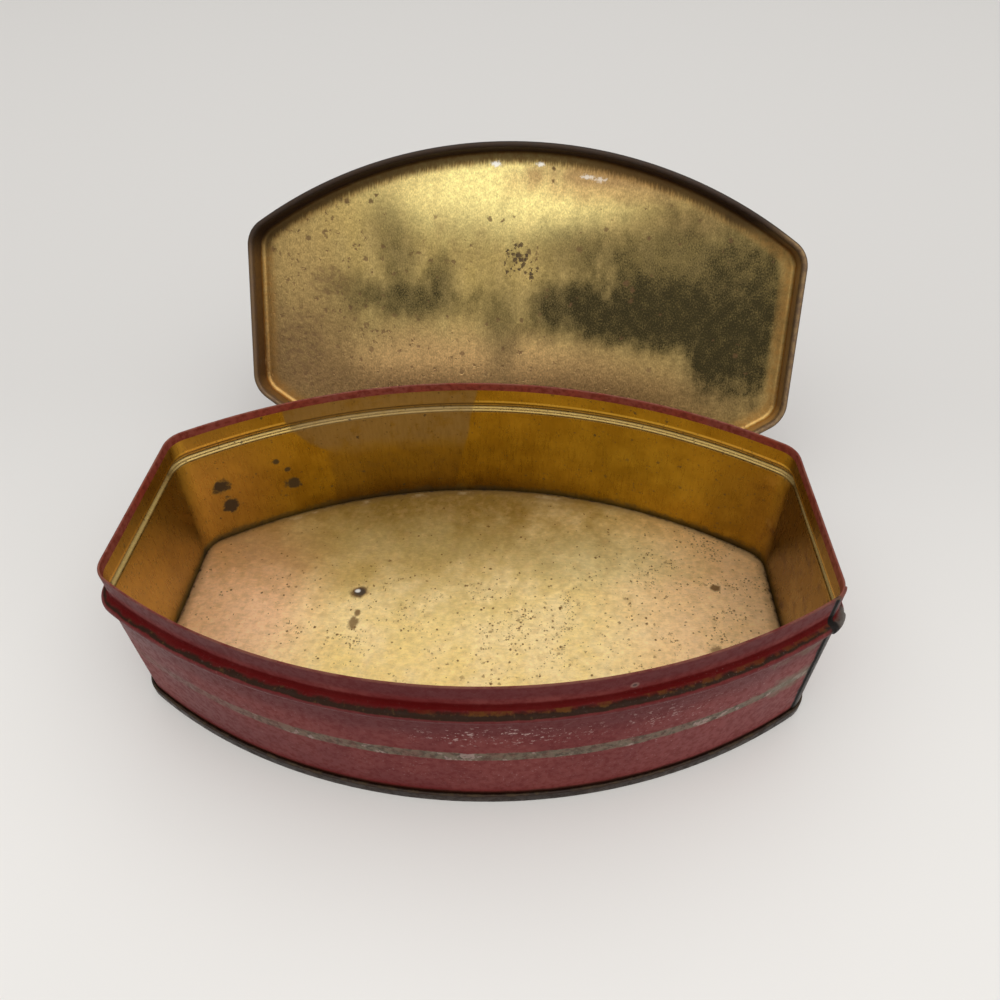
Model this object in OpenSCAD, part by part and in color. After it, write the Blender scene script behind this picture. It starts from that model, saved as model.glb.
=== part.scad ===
// Chocolate tin of printed tinplate: a bow-fronted body whose wall is one strip closed by a lapped
// side seam, a floor locked on by a double seam, and a slip lid that stands open behind the body.
// Sizes are millimetres. The origin is the middle of the resting face, +X runs along the length.

/* [Plan] */
// Length over the collar, end to end
body_len = 220; // [190:1:260]
// Width over the collar, across the middle
body_wid = 133; // [122:1:160]
// Straight stretch of each short end
end_len = 53; // [40:1:66]
// Corner radius of the collar
corner_r = 9; // [7.5:0.5:13]

/* [Height] */
// Resting face to the top of the rim
body_h = 61; // [45:1:90]
// Rim to the foot of the collar
collar_h = 9; // [7:0.5:14]

/* [Sheet] */
// Thickness of the tinplate
sheet_t = 0.3; // [0.25:0.01:0.4]
// Air left inside a fold and between lapped sheets
fold_gap = 0.1; // [0.05:0.01:0.15]

/* [Rim hem] */
// Depth of the edge folded flat inside the rim
hem_h = 3.2; // [2:0.1:5]

/* [Stop bead] */
// How far the lower wall stands outside the collar
wall_step = 1.4; // [0.9:0.1:1.9]
// How far the crest of the bead stands outside the collar
bead_out = 3; // [2.5:0.1:3.3]
// Outside radius of the bead
bead_r = 2; // [1.8:0.1:2.6]
// Hollow between the collar and the bead
bead_top_fillet = 1.5; // [1.4:0.1:2.2]
// Hollow between the bead and the lower wall
bead_low_fillet = 1; // [0.8:0.1:1.6]

/* [Side seam] */
// Overlap of the strip's two ends round the front right corner
seam_lap = 5.5; // [3:0.5:7]
// Length of the step that lifts the outer end over the inner one
seam_jog = 1.2; // [0.8:0.1:3]
// Gap between the butted ends under the lap
seam_slit = 0.3; // [0.2:0.1:0.6]

/* [Base] */
// Height of the double seam round the foot
foot_h = 4; // [3.2:0.1:6]
// Resting face to the top of the floor
floor_z = 4.1; // [3:0.1:7]
// Radius of the floor's edge, where it turns down beside the wall
floor_edge_r = 1; // [0.6:0.1:1.6]
// Inside radius at the two lower corners of the double seam
foot_corner_r = 0.25; // [0.15:0.05:0.35]

/* [Lid] */
// Gap all round between the collar and the lid's skirt
lid_clear = 0.8; // [0.65:0.05:1.2]
// Gap left over the rim when the lid is on
lid_seat_gap = 0.2; // [0.1:0.1:0.5]
// Gap left over the bead when the lid is on
lid_bead_gap = 0.3; // [0.2:0.1:0.8]
// Outside radius where the panel turns into the skirt
lid_edge_r = 2; // [1:0.1:3]
// Outside diameter of the rolled edge
curl_d = 2.2; // [1.8:0.1:2.8]
// How far round the edge is rolled
curl_turn = 300; // [240:5:305]

/* [Lid standing] */
// Lean of the lid away from the body, from upright
lid_lean = 28; // [15:1:40]
// Turn of the lid about the vertical
lid_turn = -4; // [-6:0.5:6]
// Shift of the lid's lowest point along the length
lid_x = 11; // [-20:1:20]
// Gap between the back of the body and the lid
lid_gap = 0.8; // [0.5:0.1:3]

/* [Hidden] */

// Lengths and angles that several stretches share are kept to a thousandth, so that they meet exactly
function fine(v) = round(v * 1000) / 1000;

// Plan outline of the collar: a long bow front and back, straight ends, round corners.
// Each bow's centre, a corner's centre and the point where they meet lie on one line.
half_wid = body_wid / 2;
corner_y = end_len / 2;
corner_reach = body_len / 2 - corner_r;
bow_rise = half_wid - corner_y;
bow_span = fine((corner_reach * corner_reach + pow(bow_rise - corner_r, 2)) / (2 * (bow_rise - corner_r)));
bow_r = bow_span + corner_r;
corner_turn = fine(acos(corner_reach / bow_span));
corner_x = bow_span * cos(corner_turn);
bow_y = corner_y - bow_span * sin(corner_turn);

// Steps along a bow, a corner and the small arcs of a section
bow_fn = 300;
corner_fn = 96;
arc_steps = 6;

// Section of the wall, top to bottom
hem_r = sheet_t + fold_gap / 2;
hem_z = body_h - hem_r;
collar_z = body_h - collar_h;
top_bend = acos(1 - bead_out / (bead_top_fillet + bead_r));
bead_o = bead_out - bead_r;
bead_z = collar_z - (bead_top_fillet + bead_r) * sin(top_bend);
low_bend = acos(1 - (bead_out - wall_step) / (bead_low_fillet + bead_r));
wall_top_z = bead_z - (bead_low_fillet + bead_r) * sin(low_bend);
bead_top_z = bead_z + bead_r;

// Section of the double seam: five sheets, each pair one fold gap apart
lock_r = sheet_t / 2 + fold_gap;
hook_turn_z = 2 * sheet_t + fold_gap + lock_r;
hook_top_z = foot_h - sheet_t - lock_r - fold_gap;
cover_hook_z = hook_turn_z + fold_gap;
chuck_out = wall_step - sheet_t - fold_gap;
cover_out = wall_step + sheet_t + fold_gap;
foot_in = cover_out + 2 * lock_r;
foot_out = foot_in + sheet_t;

// Each rim carries a narrow flange that its flat panel overlaps
flange_in = corner_r / 2;
panel_overlap = 1.5;
panel_in = flange_in - panel_overlap;

// Section of the lid, measured up from its rolled edge
curl_r = curl_d / 2;
skirt_out = lid_clear + sheet_t;
curl_o = lid_clear + curl_r;
lid_z = bead_top_z + lid_bead_gap;
lid_h = body_h + lid_seat_gap + sheet_t - lid_z;

// Where the standing lid touches: the lower of its panel edge and its rolled edge
panel_edge_drop = (half_wid + skirt_out - lid_edge_r) * cos(lid_lean)
    + (lid_h - lid_edge_r) * sin(lid_lean) + lid_edge_r;
curl_drop = (half_wid + curl_o) * cos(lid_lean) + curl_r * sin(lid_lean) + curl_r;
lid_drop = max(panel_edge_drop, curl_drop);
curl_front = (half_wid + curl_o) * sin(lid_lean) - curl_r * cos(lid_lean) + curl_r;
body_back = half_wid + max(bead_out, foot_out);

// Points of an arc in a section, ends included
function arc(at, r, from, to, steps = arc_steps) =
    [for (i = [0:steps]) at + r * [cos(from + (to - from) * i / steps), sin(from + (to - from) * i / steps)]];

function reversed(list) = [for (i = [len(list) - 1:-1:0]) list[i]];

// One face of the wall from collar to lower wall, moved outwards by s
function wall_face(s) = concat(
    arc([bead_top_fillet, collar_z], bead_top_fillet - s, 180, 180 + top_bend),
    arc([bead_o, bead_z], bead_r + s, top_bend, -low_bend, 2 * arc_steps),
    arc([wall_step + bead_low_fillet, wall_top_z], bead_low_fillet - s, 180 - low_bend, 180));

// Whole strip: hem, collar, bead, lower wall and the hook of the double seam
function wall_section() = concat(
    [[-2 * hem_r, body_h - hem_h]],
    arc([-hem_r, hem_z], hem_r, 180, 0, 2 * arc_steps),
    wall_face(0),
    arc([wall_step + lock_r, hook_turn_z], lock_r, 180, 360),
    [[wall_step + 2 * lock_r, hook_top_z]],
    [[wall_step + 2 * lock_r + sheet_t, hook_top_z]],
    arc([wall_step + lock_r, hook_turn_z], lock_r + sheet_t, 360, 180),
    reversed(wall_face(-sheet_t)),
    arc([-hem_r, hem_z], hem_r - sheet_t, 0, 180),
    [[sheet_t - 2 * hem_r, body_h - hem_h]]);

// Part of the strip beside the seam, between two offsets, from rim to double seam
function lap_section(outer, inner) = concat(
    [[outer, hem_z]],
    wall_face(outer),
    [[wall_step + outer, foot_h + fold_gap]],
    [[wall_step + inner, foot_h + fold_gap]],
    reversed(wall_face(inner)),
    [[inner, hem_z]]);

// Floor edge, chuck wall and the fold that wraps the wall's hook
function base_section() = concat(
    [[-flange_in, floor_z]],
    arc([chuck_out - floor_edge_r, floor_z - floor_edge_r], floor_edge_r, 90, 0),
    arc([chuck_out + foot_corner_r, sheet_t + foot_corner_r], foot_corner_r, 180, 270),
    arc([foot_in - foot_corner_r, sheet_t + foot_corner_r], foot_corner_r, 270, 360),
    arc([foot_in - lock_r, foot_h - sheet_t - lock_r], lock_r, 0, 180),
    [[cover_out, cover_hook_z]],
    [[cover_out - sheet_t, cover_hook_z]],
    arc([foot_in - lock_r, foot_h - sheet_t - lock_r], lock_r + sheet_t, 180, 0),
    arc([foot_in - foot_corner_r, sheet_t + foot_corner_r], foot_corner_r + sheet_t, 360, 270),
    arc([chuck_out + foot_corner_r, sheet_t + foot_corner_r], foot_corner_r + sheet_t, 270, 180),
    arc([chuck_out - floor_edge_r, floor_z - floor_edge_r], floor_edge_r - sheet_t, 0, 90),
    [[-flange_in, floor_z - sheet_t]]);

// Panel edge, skirt and outward rolled edge
function lid_section() = concat(
    [[-flange_in, lid_h]],
    arc([skirt_out - lid_edge_r, lid_h - lid_edge_r], lid_edge_r, 90, 0),
    arc([curl_o, curl_r], curl_r - sheet_t, 180, 180 + curl_turn, 4 * arc_steps),
    arc([curl_o, curl_r], curl_r, 180 + curl_turn, 180, 4 * arc_steps),
    arc([skirt_out - lid_edge_r, lid_h - lid_edge_r], lid_edge_r - sheet_t, 0, 90),
    [[-flange_in, lid_h - sheet_t]]);

// Moves to a point of the plan in a coarse and a fine step
module place(at) {
    coarse = [fine(at[0]), fine(at[1]), 0];
    translate(coarse)
        translate([at[0], at[1], 0] - coarse)
            children();
}

// A section carried along one arc of the plan; x in the section is the distance outside the outline
module along_arc(at, r, from, to, section, steps) {
    place(at)
        rotate_extrude(angle = to - from, start = from, $fn = steps)
            polygon([for (p = section) [r + fine(p[0]), fine(p[1])]]);
}

// A section carried along the straight end at +X
module along_end(section) {
    place([corner_x + corner_r, 0])
        rotate([90, 0, 0])
            linear_extrude(end_len, center = true)
                polygon([for (p = section) [fine(p[0]), fine(p[1])]]);
}

// A section carried all round the plan outline, parted by a slit beside the front bow if asked
module along_outline(section, slit_turn = 0) {
    for (side = [0, 180]) {
        slit = side == 0 ? slit_turn : 0;
        rotate([0, 0, side]) {
            along_arc([0, bow_y], bow_r, corner_turn, 180 - corner_turn, section, bow_fn);
            along_arc([corner_x, corner_y], corner_r, 0, corner_turn, section, corner_fn);
            along_end(section);
            along_arc([corner_x, -corner_y], corner_r, slit - corner_turn, 0, section, corner_fn);
        }
    }
}

// Flat sheet inside the outline; its sharp corners end within the flange of its rim
module panel(z) {
    translate([0, 0, z])
        linear_extrude(sheet_t)
            intersection() {
                translate([0, bow_y]) circle(bow_r - panel_in, $fn = bow_fn);
                translate([0, -bow_y]) circle(bow_r - panel_in, $fn = bow_fn);
                square([body_len - 2 * panel_in, body_wid], center = true);
            }
}

// Turn round a corner that a length along the collar takes
function corner_angle(length) = fine(length / corner_r * 180 / PI);

// Outer end of the strip: stepped over the inner end and lapped round the corner
module seam_outer_end() {
    lift = sheet_t + fold_gap;
    jog_turn = fine(seam_jog / bow_r * 180 / PI);
    along_arc([0, -bow_y], bow_r, -corner_turn - jog_turn, -corner_turn, lap_section(lift, -sheet_t), bow_fn);
    along_arc([corner_x, -corner_y], corner_r, -corner_turn, corner_angle(seam_lap) - corner_turn,
        lap_section(lift, fold_gap), corner_fn);
}

module body_wall() {
    color("maroon") {
        along_outline(wall_section(), corner_angle(seam_slit));
        seam_outer_end();
    }
}

module base_plate() {
    color("darkgoldenrod") {
        along_outline(base_section());
        panel(floor_z - sheet_t);
    }
}

// Lid as it lies on the body, with its rolled edge at z = 0
module lid_flat() {
    along_outline(lid_section());
    panel(lid_h - sheet_t);
}

// Lid stood on its back edge behind the body, its inside to the front
module lid() {
    color("goldenrod")
        translate([lid_x, body_back + lid_gap + curl_front, lid_drop])
            rotate([0, 0, lid_turn])
                rotate([-90 - lid_lean, 0, 0])
                    lid_flat();
}

body_wall();
base_plate();
lid();
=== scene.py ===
import math
import bpy
from mathutils import Matrix, Vector, noise


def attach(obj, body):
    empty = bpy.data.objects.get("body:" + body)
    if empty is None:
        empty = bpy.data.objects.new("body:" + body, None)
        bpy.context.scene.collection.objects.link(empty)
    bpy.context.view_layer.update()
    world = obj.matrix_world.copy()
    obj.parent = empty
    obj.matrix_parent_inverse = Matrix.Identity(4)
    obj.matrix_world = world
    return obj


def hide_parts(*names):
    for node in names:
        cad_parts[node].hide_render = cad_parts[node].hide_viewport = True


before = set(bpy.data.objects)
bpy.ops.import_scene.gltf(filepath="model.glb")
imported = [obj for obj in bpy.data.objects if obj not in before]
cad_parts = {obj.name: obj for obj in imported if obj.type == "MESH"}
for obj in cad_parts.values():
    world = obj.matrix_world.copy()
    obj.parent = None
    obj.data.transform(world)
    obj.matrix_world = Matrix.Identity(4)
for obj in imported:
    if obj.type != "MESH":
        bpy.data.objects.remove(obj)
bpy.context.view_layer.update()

mm = 0.001

# plan of the tin over its collar, in millimetres: two long bows, straight ends, round corners
plan = {"halfLength": 110.0, "halfWidth": 66.5, "halfEnd": 26.5, "corner": 9.0,
        "bowSteps": 72, "cornerSteps": 14, "endSteps": 4}
plan["reach"] = plan["halfLength"] - plan["corner"]
plan["rise"] = plan["halfWidth"] - plan["halfEnd"] - plan["corner"]
plan["span"] = (plan["reach"] ** 2 + plan["rise"] ** 2) / (2 * plan["rise"])
plan["bow"] = plan["span"] + plan["corner"]
plan["turn"] = math.acos(plan["reach"] / plan["span"])
plan["bowY"] = plan["halfWidth"] - plan["bow"]
plan["bowHalf"] = plan["bow"] * (math.pi / 2 - plan["turn"])
plan["cornerLength"] = plan["corner"] * plan["turn"]
plan["halfRound"] = 2 * (plan["bowHalf"] + plan["cornerLength"] + plan["halfEnd"])


# small modelling helpers
def clearSelection():
    if bpy.context.object and bpy.context.object.mode != "OBJECT":
        bpy.ops.object.mode_set(mode="OBJECT")
    bpy.ops.object.select_all(action="DESELECT")


def activate(piece):
    clearSelection()
    piece.select_set(True)
    bpy.context.view_layer.objects.active = piece


def share(value):
    return min(1, max(0, value))


def arcPoints(middle, radius, start, end, steps):
    turns = [math.radians(start + (end - start) * k / steps) for k in range(steps + 1)]
    return [(middle[0] + radius * math.cos(t), middle[1] + radius * math.sin(t)) for t in turns]


def linePoints(a, b, steps):  # without its first point
    return [(a[0] + (b[0] - a[0]) * k / steps, a[1] + (b[1] - a[1]) * k / steps) for k in range(1, steps + 1)]


def startSection(name, section, corner, angle):
    # a small plane drawn together to one point, then drawn out along the section
    along = Vector((math.cos(angle), math.sin(angle), 0))
    foot = Vector((corner[0], corner[1], 0))
    points = [(foot + along * (corner[2] + o) + Vector((0, 0, z))) * mm for o, z in section]
    clearSelection()
    bpy.ops.mesh.primitive_plane_add(size=mm)
    piece = bpy.context.object
    piece.name = name
    bpy.ops.object.mode_set(mode="EDIT")
    bpy.ops.mesh.select_all(action="SELECT")
    bpy.ops.mesh.merge(type="CENTER")
    bpy.ops.transform.translate(value=points[0])
    for a, b in zip(points, points[1:]):
        bpy.ops.mesh.extrude_vertices_move(TRANSFORM_OT_translate={"value": b - a})
    bpy.ops.mesh.select_all(action="SELECT")
    return piece


def spinOn(x, y, degrees, steps):
    bpy.ops.mesh.spin(steps=steps, angle=math.radians(degrees), center=(x * mm, y * mm, 0), axis=(0, 0, -1))


def drawOn(x, y, steps):
    for k in range(steps):
        bpy.ops.mesh.extrude_region_move(TRANSFORM_OT_translate={"value": (x * mm / steps, y * mm / steps, 0)})


def roundFromRightEnd():
    # on from the right end, against the clock: corner, back bow, corner, left end, corner, front bow
    reach, end, turn = plan["reach"], plan["halfEnd"], math.degrees(plan["turn"])
    spinOn(reach, end, turn, plan["cornerSteps"])
    spinOn(0, plan["bowY"], 180 - 2 * turn, plan["bowSteps"])
    spinOn(-reach, end, turn, plan["cornerSteps"])
    drawOn(0, -2 * end, 2 * plan["endSteps"])
    spinOn(-reach, -end, turn, plan["cornerSteps"])
    spinOn(0, -plan["bowY"], 180 - 2 * turn, plan["bowSteps"])


def closedRing(name, section):
    piece = startSection(name, section, (0, 0, plan["halfLength"]), 0)
    drawOn(0, plan["halfEnd"], plan["endSteps"])
    roundFromRightEnd()
    spinOn(plan["reach"], -plan["halfEnd"], math.degrees(plan["turn"]), plan["cornerSteps"])
    drawOn(0, plan["halfEnd"], plan["endSteps"])
    bpy.ops.mesh.select_all(action="SELECT")
    bpy.ops.mesh.remove_doubles(threshold=1e-6)
    return piece


def wrapOf(x, y):
    # millimetres along the collar from the middle of the front, and millimetres outside the collar
    ax, ay = abs(x), abs(y)
    reach, end = plan["reach"], plan["halfEnd"]
    q = math.atan2(ay - end, ax - reach)
    if ay > end and 0 <= q <= plan["turn"]:
        out = math.hypot(ax - reach, ay - end) - plan["corner"]
        run = plan["bowHalf"] + plan["corner"] * (plan["turn"] - q)
    elif ay <= end and ax > reach:
        out = ax - plan["halfLength"]
        run = plan["bowHalf"] + plan["cornerLength"] + end - ay
    else:
        fromBow = math.hypot(ax, ay - plan["bowY"]) - plan["bow"]
        out = max(fromBow, ax - plan["halfLength"])
        run = plan["bow"] * math.atan2(ax, ay - plan["bowY"])
    if y > 0:
        run = plan["halfRound"] - run
    return (run if x >= 0 else -run), out


def outwardAt(x, y):
    step = 0.05
    slopeX = wrapOf(x + step, y)[1] - wrapOf(x - step, y)[1]
    slopeY = wrapOf(x, y + step)[1] - wrapOf(x, y - step)[1]
    return Vector((slopeX, slopeY, 0)).normalized()


def faceOutwards(piece, outside):
    # outside(centre, normal) is positive where a face points the right way
    bpy.ops.mesh.select_all(action="SELECT")
    bpy.ops.mesh.normals_make_consistent(inside=False)
    bpy.ops.object.mode_set(mode="OBJECT")
    vote = sum(outside(f.center, f.normal) * f.area for f in piece.data.polygons)
    if vote < 0:
        bpy.ops.object.mode_set(mode="EDIT")
        bpy.ops.mesh.select_all(action="SELECT")
        bpy.ops.mesh.flip_normals()
        bpy.ops.object.mode_set(mode="OBJECT")


panelRings = (0.92, 0.82, 0.7, 0.56, 0.4, 0.2)  # shares of the panel's own outline


def fillPanel(piece, flange, height):
    # the flange's inner loop drawn in to the middle in rings, then closed
    near = 0.05
    bpy.ops.mesh.select_mode(type="VERT")
    bpy.ops.mesh.select_all(action="DESELECT")
    bpy.ops.object.mode_set(mode="OBJECT")
    for v in piece.data.vertices:
        out = wrapOf(v.co.x / mm, v.co.y / mm)[1]
        v.select = abs(out + flange) < near and abs(v.co.z / mm - height) < near
    bpy.ops.object.mode_set(mode="EDIT")
    last = 1.0
    for part in panelRings:
        bpy.ops.mesh.extrude_edges_move()
        bpy.ops.transform.resize(value=(part / last, part / last, 1), center_override=(0, 0, height * mm))
        last = part
    bpy.ops.mesh.edge_face_add()


def keepFloat(piece, name, values):
    layer = piece.data.attributes.new(name, "FLOAT", "POINT")
    layer.data.foreach_set("value", values)


def keepMap(piece, name, pairs):
    layer = piece.data.uv_layers.new(name=name)
    for corner in piece.data.loops:
        layer.data[corner.index].uv = pairs[corner.vertex_index]


def addSheet(piece, thickness, finishes):
    # the second side of the sheet takes the second finish, the cut edges the third
    for made in finishes:
        piece.data.materials.append(made)
    activate(piece)
    sheet = piece.modifiers.new("sheet", "SOLIDIFY")
    sheet.thickness = thickness * mm
    sheet.offset = -1
    sheet.use_even_offset = True
    sheet.material_offset = 1
    sheet.material_offset_rim = 2
    bpy.ops.object.modifier_apply(modifier="sheet")
    bpy.ops.object.shade_smooth_by_angle(angle=math.radians(35))


# shader helpers, which all add to the node tree in work
work = {"tree": None}


def put(kind, values=None, **settings):
    tree = work["tree"]
    made = tree.nodes.new(kind)
    for key, value in settings.items():
        setattr(made, key, value)
    for key, value in (values or {}).items():
        if isinstance(value, bpy.types.NodeSocket):
            tree.links.new(value, made.inputs[key])
        else:
            made.inputs[key].default_value = value
    return made


def calc(operation, a, b=0.0, c=0.0, clamp=False):
    return put("ShaderNodeMath", {0: a, 1: b, 2: c}, operation=operation, use_clamp=clamp).outputs[0]


def chain(operation):
    # the same step over any number of values, clamped only at the end
    def joined(*values, clamp=False):
        total = values[0]
        for value in values[1:-1]:
            total = calc(operation, total, value)
        return calc(operation, total, values[-1], clamp=clamp)
    return joined


times, plus, minus, most = (chain(k) for k in ("MULTIPLY", "ADD", "SUBTRACT", "MAXIMUM"))


def scaled(value, factor, base=0.0):
    return calc("MULTIPLY_ADD", value, factor, base)


def ramp(value, low, high):
    made = put("ShaderNodeMapRange", {"Value": value, "From Min": low, "From Max": high},
               interpolation_type="SMOOTHSTEP")
    return made.outputs["Result"]


def band(value, startLow, startHigh, endLow, endHigh):
    return times(ramp(value, startLow, startHigh), ramp(value, endLow, endHigh))


def blend(amount, a, b, mode="MIX"):
    a, b = ((*k, 1.0) if isinstance(k, tuple) else k for k in (a, b))
    return put("ShaderNodeMix", {0: amount, 6: a, 7: b}, data_type="RGBA", blend_type=mode).outputs[2]


def vectorMath(operation, a, b):
    return put("ShaderNodeVectorMath", {0: a, 1: b}, operation=operation).outputs[0]


def objectPlace():
    return put("ShaderNodeTexCoord").outputs["Object"]


def along(place, axis):  # in millimetres
    return scaled(put("ShaderNodeSeparateXYZ", {"Vector": place}).outputs[axis], 1 / mm)


def stored(name):
    return put("ShaderNodeAttribute", attribute_name=name).outputs["Fac"]


# shared effects
def newGroup(name, inputs, output):
    group = work["tree"] = bpy.data.node_groups.new(name, "ShaderNodeTree")
    group.interface.new_socket("Coordinates", in_out="INPUT", socket_type="NodeSocketVector")
    for label, start in inputs.items():
        kind = "NodeSocketVector" if isinstance(start, tuple) else "NodeSocketFloat"
        group.interface.new_socket(label, in_out="INPUT", socket_type=kind).default_value = start
    group.interface.new_socket(output, in_out="OUTPUT", socket_type="NodeSocketFloat")
    return group, group.nodes.new("NodeGroupInput").outputs, group.nodes.new("NodeGroupOutput").inputs


def makePatchGroup():
    # one stain with a torn outline: 1 inside an oval, 0 outside
    group, given, result = newGroup("stainPatch", {
        "Middle": (0.0, 0.0, 0.0), "Spread": (0.01, 0.01, 0.01), "Soft": 0.2, "Torn": 0.6, "Tear": 0.5}, "Mask")
    shift = vectorMath("SUBTRACT", given["Coordinates"], given["Middle"])
    oval = vectorMath("DIVIDE", shift, given["Spread"])
    far = put("ShaderNodeVectorMath", {0: oval}, operation="LENGTH").outputs["Value"]
    push = times(minus(given["Tear"], 0.5), given["Torn"], 2.0)
    spot = ramp(plus(far, push), plus(1.0, given["Soft"]), minus(1.0, given["Soft"]))
    group.links.new(spot, result["Mask"])
    return group


def makePitGroup():
    # rust pits of several sizes, where Amount lets them through
    group, given, result = newGroup("rustPits", {"Scale": 300.0, "Amount": 0.4, "Size": 0.5}, "Mask")
    bent = put("ShaderNodeTexNoise", {
        "Vector": given["Coordinates"], "Scale": times(given["Scale"], 2.6), "Detail": 1.0})
    reach = calc("DIVIDE", 0.7, given["Scale"])
    shift = put("ShaderNodeVectorMath", {0: bent.outputs["Color"], 3: reach}, operation="SCALE")
    where = vectorMath("ADD", given["Coordinates"], shift.outputs[0])
    cell = put("ShaderNodeTexVoronoi", {"Vector": where, "Scale": given["Scale"]})
    pick = put("ShaderNodeSeparateColor", {"Color": cell.outputs["Color"]})
    kept = calc("LESS_THAN", pick.outputs[0], given["Amount"])
    wide = times(plus(calc("POWER", pick.outputs[1], 2.0), 0.25), given["Size"])
    dot = ramp(cell.outputs["Distance"], wide, times(wide, 0.45))
    deep = plus(0.45, times(pick.outputs[2], 0.55))
    group.links.new(times(dot, deep, kept), result["Mask"])
    return group


def makeCloudGroup():
    # cloudy tarnish, cut between two levels
    group, given, result = newGroup("cloudyTarnish", {"Scale": 30.0, "Low": 0.45, "High": 0.65, "Rough": 0.6}, "Mask")
    haze = put("ShaderNodeTexNoise", {
        "Vector": given["Coordinates"], "Scale": given["Scale"], "Detail": 4.0, "Roughness": given["Rough"]})
    group.links.new(ramp(haze.outputs["Fac"], given["Low"], given["High"]), result["Mask"])
    return group


def makeGrainGroup():
    # rolling grain of the tin coat: short streaks along one way
    group, given, result = newGroup("rollingGrain", {"Stretch": (1.0, 0.12, 1.0), "Scale": 900.0}, "Value")
    long = vectorMath("MULTIPLY", given["Coordinates"], given["Stretch"])
    streak = put("ShaderNodeTexNoise", {
        "Vector": long, "Scale": given["Scale"], "Detail": 3.0, "Roughness": 0.6})
    group.links.new(streak.outputs["Fac"], result["Value"])
    return group


stainPatch = makePatchGroup()
rustPits = makePitGroup()
cloudyTarnish = makeCloudGroup()
rollingGrain = makeGrainGroup()
print("shared effects ready")


def placeGroup(group, values):
    return put("ShaderNodeGroup", values, node_tree=group).outputs[0]


def cloud(place, scale, low, high, rough=0.6):
    return placeGroup(cloudyTarnish, {
        "Coordinates": place, "Scale": scale, "Low": low, "High": high, "Rough": rough})


def streaks(place, stretch, scale):
    return placeGroup(rollingGrain, {"Coordinates": place, "Stretch": stretch, "Scale": scale})


def pitted(place, scale, amount, size):
    return placeGroup(rustPits, {"Coordinates": place, "Scale": scale, "Amount": amount, "Size": size})


def patches(place, tear, spots):
    # several stains run together: middle, spread, softness, tearing and strength of each
    total = None
    for middle, spread, soft, torn, strength in spots:
        mask = placeGroup(stainPatch, {
            "Coordinates": place, "Middle": [m * mm for m in middle], "Spread": [m * mm for m in spread],
            "Soft": soft, "Torn": torn, "Tear": tear})
        mask = times(mask, strength)
        total = mask if total is None else minus(plus(total, mask), times(total, mask))
    return total


def stain(place, tear, colour, look, name, mode="MIX"):
    return blend(patches(place, tear, look[name + "Spots"]), colour, look[name], mode)


def tearNoise(place, scale, stretch=(1.0, 1.0, 1.0)):
    long = vectorMath("MULTIPLY", place, stretch)
    made = put("ShaderNodeTexNoise", {"Vector": long, "Scale": scale, "Detail": 6.0, "Roughness": 0.66})
    return made.outputs["Fac"]


def newMaterial(name):
    made = bpy.data.materials.new(name)
    made.use_nodes = True
    work["tree"] = made.node_tree
    return made, made.node_tree.nodes["Principled BSDF"]


def wire(surface, values):
    for key, value in values.items():
        work["tree"].links.new(value, surface.inputs[key])


def raiseGrain(surface, height, strength):
    lift = put("ShaderNodeBump", {"Height": height, "Strength": strength, "Distance": 0.2 * mm})
    wire(surface, {"Normal": lift.outputs["Normal"]})


def finishGold(surface, look, colour, grain, rust, dull):
    # metal shows where neither rust nor dull tarnish covers it
    covered = most(rust, dull, clamp=True)
    worn = plus(scaled(covered, 0.3, look["roughness"]), scaled(grain, 0.3, -0.15), clamp=True)
    wire(surface, {"Base Color": colour, "Metallic": scaled(covered, -0.7, 1.0), "Roughness": worn})
    raiseGrain(surface, minus(grain, rust), look["bump"])


def finishRed(surface, colour, broad, fine, flecks):
    matt = plus(scaled(broad, 0.12, 0.36), scaled(fine, 0.12))
    wire(surface, {"Base Color": colour, "Roughness": matt})
    raiseGrain(surface, plus(scaled(fine, 0.5), flecks), 0.15)


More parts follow.
